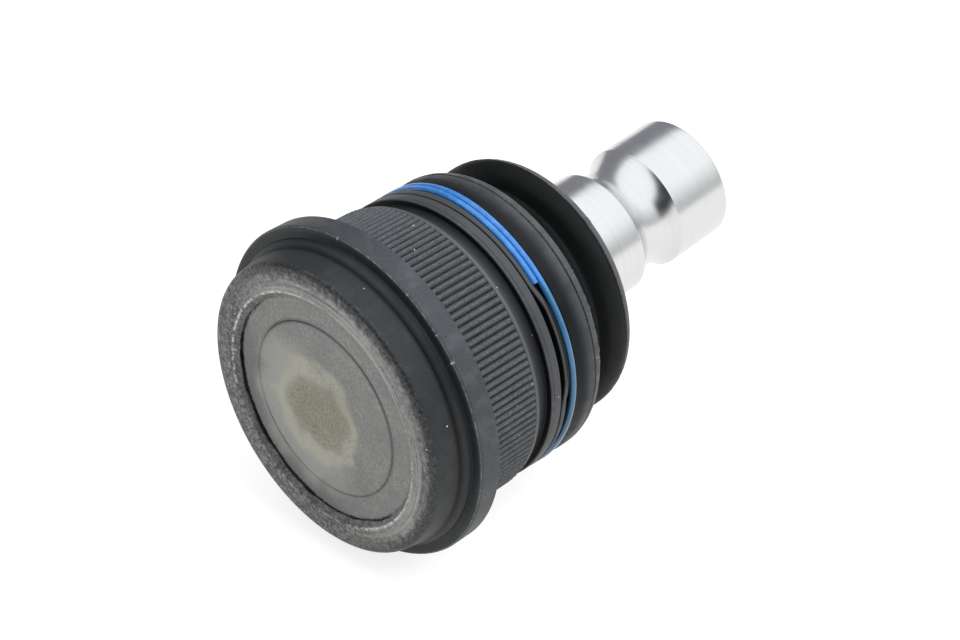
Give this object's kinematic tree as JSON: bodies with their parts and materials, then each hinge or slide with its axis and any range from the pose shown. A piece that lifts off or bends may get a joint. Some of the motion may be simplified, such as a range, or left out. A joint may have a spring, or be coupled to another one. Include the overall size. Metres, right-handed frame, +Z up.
{
  "type": "suspension ball joint",
  "caption": "Press-in suspension ball joint with a splined steel housing, rolled-in cover, dust boot and a plain clamp stud.",
  "frame": {"origin": "centre of the ball, on the housing's axis", "axes": "+X along the housing's axis towards the stud, +Z up, +Y completes the right-handed frame"},
  "size_m": [0.0831, 0.0564, 0.0564],
  "materials": {
    "housing_steel": "dark phosphated, worn bright on edges",
    "cover_steel": "dull pressed",
    "stud_steel": "fine ground, satin",
    "bearing_plastic": "moulded acetal",
    "boot_rubber": "matte moulded",
    "ring_wire": "blue coated spring wire",
    "insert_plastic": "moulded",
    "small_ring_wire": "drawn spring wire"
  },
  "bodies": {
    "housing": {"housing": "housing_steel", "cover_plate": "cover_steel", "lower_bearing": "bearing_plastic", "upper_bearing": "bearing_plastic", "boot_clamp_ring": "ring_wire"},
    "boot": {"dust_boot": "boot_rubber"},
    "boot_end": {"boot_insert": "insert_plastic", "small_clamp_ring": "small_ring_wire"},
    "stud": {"ball_stud": "stud_steel"}
  },
  "joints": [
    {"name": "swing_lift", "type": "hinge", "parent": "housing", "child": "boot", "pos_m": [0, 0, 0], "axis": [0, -1, 0], "range_deg": [-28, 12], "deforming": ["dust_boot"]},
    {"name": "swing_side", "type": "hinge", "parent": "boot", "child": "boot_end", "pos_m": [0, 0, 0], "axis": [0.1392, 0, -0.9903], "range_deg": [-23.85, 16.15], "deforming": ["dust_boot"]},
    {"name": "stud_spin", "type": "hinge", "parent": "boot_end", "child": "stud", "pos_m": [0, 0, 0], "axis": [0.988, -0.0671, 0.1389], "continuous": true}
  ]
}
